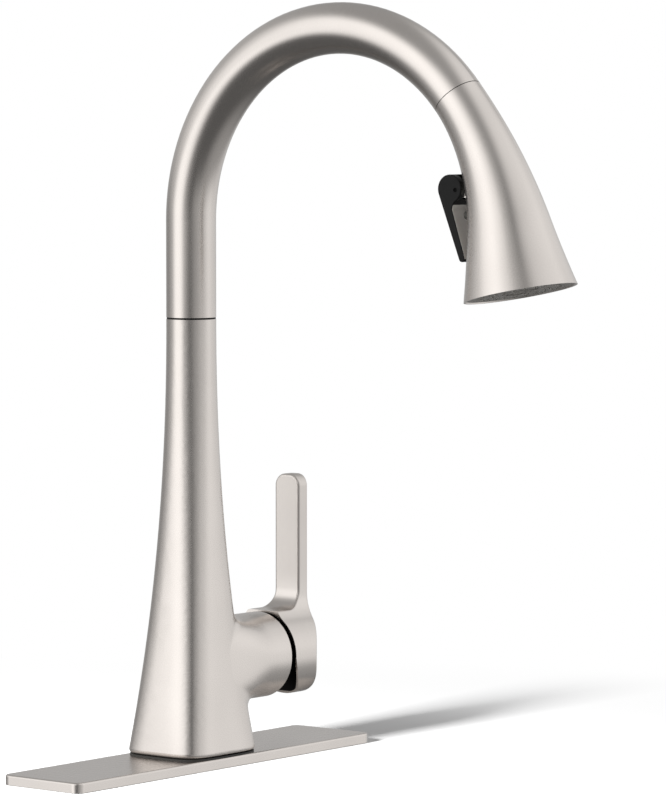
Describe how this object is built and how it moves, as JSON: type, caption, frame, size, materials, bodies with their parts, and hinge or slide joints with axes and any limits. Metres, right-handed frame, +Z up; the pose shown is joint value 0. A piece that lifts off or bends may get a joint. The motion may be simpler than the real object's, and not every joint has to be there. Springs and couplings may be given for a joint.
{
  "type": "kitchen faucet",
  "caption": "High-arc kitchen faucet with a swivelling gooseneck, a flared pull-down spray head with a thumb rocker, and a side lever for flow and temperature, on a long deck plate.",
  "frame": {"origin": "on the column's axis at the deck's surface, under the plate's seal", "axes": "+Z up along the column, -Y forward along the spout, +X to the handle's side"},
  "size_m": [0.26, 0.2926, 0.5547],
  "materials": {
    "satin_nickel": "satin brushed",
    "black_plastic": "matte",
    "grey_plastic": "matte",
    "grey_rubber": "matte",
    "brass": "turned",
    "steel": "plain",
    "ceramic": "ground",
    "hose_braid": "braided"
  },
  "bodies": {
    "base": {"deck_plate": "satin_nickel", "deck_tray": "grey_plastic", "deck_seal": "grey_rubber", "foot_ring": "black_plastic", "body": "satin_nickel", "swivel_bush_upper": "grey_plastic", "swivel_bush_lower": "grey_plastic", "seam_ring": "black_plastic", "mounting_shank": "brass", "mounting_washer": "steel", "mounting_nut": "grey_plastic", "clamp_screws": "steel", "valve_housing": "brass", "inlet_block": "brass", "cartridge_body": "grey_plastic", "inlet_seals": "grey_rubber", "fixed_disc": "ceramic", "bonnet_nut": "brass"},
    "spout": {"spout": "satin_nickel", "swivel_sleeve": "brass", "swivel_clip": "steel", "dock_insert": "black_plastic", "spray_hose": "hose_braid", "hose_fitting": "brass"},
    "spray_head": {"head_shell": "satin_nickel", "head_neck": "grey_plastic", "head_waterway": "grey_plastic", "spray_face": "grey_plastic", "nozzle_mat": "grey_rubber", "aerator_housing": "grey_plastic", "aerator_screen": "grey_plastic", "check_valve": "grey_plastic", "rocker_bracket": "grey_plastic", "rocker_pin": "steel", "hose_ferrule": "steel"},
    "rocker": {"rocker": "black_plastic"},
    "diverter": {"diverter_plunger": "black_plastic"},
    "stem_carrier": {"stem_carrier": "grey_plastic", "stem_pin": "steel"},
    "handle": {"handle": "satin_nickel", "valve_stem": "steel", "handle_set_screw": "steel"},
    "moving_disc": {"moving_disc": "ceramic"}
  },
  "joints": [
    {"name": "spout_swivel", "type": "hinge", "parent": "base", "child": "spout", "pos_m": [0, 0, 0.2568], "axis": [0, 0, 1], "continuous": true},
    {"name": "head_pull", "type": "slide", "parent": "spout", "child": "spray_head", "axis": [0, -0.6428, -0.766], "range_m": [0, 0.2], "stiffness_N_per_m": 10, "springref_m": -0.6, "deforming": ["spray_hose"]},
    {"name": "rocker_toggle", "type": "hinge", "parent": "spray_head", "child": "rocker", "pos_m": [0, -0.1947, 0.3318], "axis": [1, 0, 0], "range_deg": [0, 10]},
    {"name": "diverter_slide", "type": "slide", "parent": "spray_head", "child": "diverter", "axis": [0, 0.9945, -0.1045], "range_m": [0, 0.0025]},
    {"name": "handle_temperature", "type": "hinge", "parent": "base", "child": "stem_carrier", "pos_m": [0.044, 0, 0.0574], "axis": [1, 0, 0], "range_deg": [-45, 45]},
    {"name": "handle_flow", "type": "hinge", "parent": "stem_carrier", "child": "handle", "pos_m": [0.044, 0, 0.0574], "axis": [0, 1, 0], "range_deg": [0, 20]},
    {"name": "disc_slide", "type": "slide", "parent": "stem_carrier", "child": "moving_disc", "axis": [0, 0, 1], "range_m": [0, 0.0045]}
  ],
  "couplings": [
    {"joint": "diverter_slide", "follows": "rocker_toggle", "m_per_rad": 0.014},
    {"joint": "disc_slide", "follows": "handle_flow", "m_per_rad": 0.0126}
  ]
}
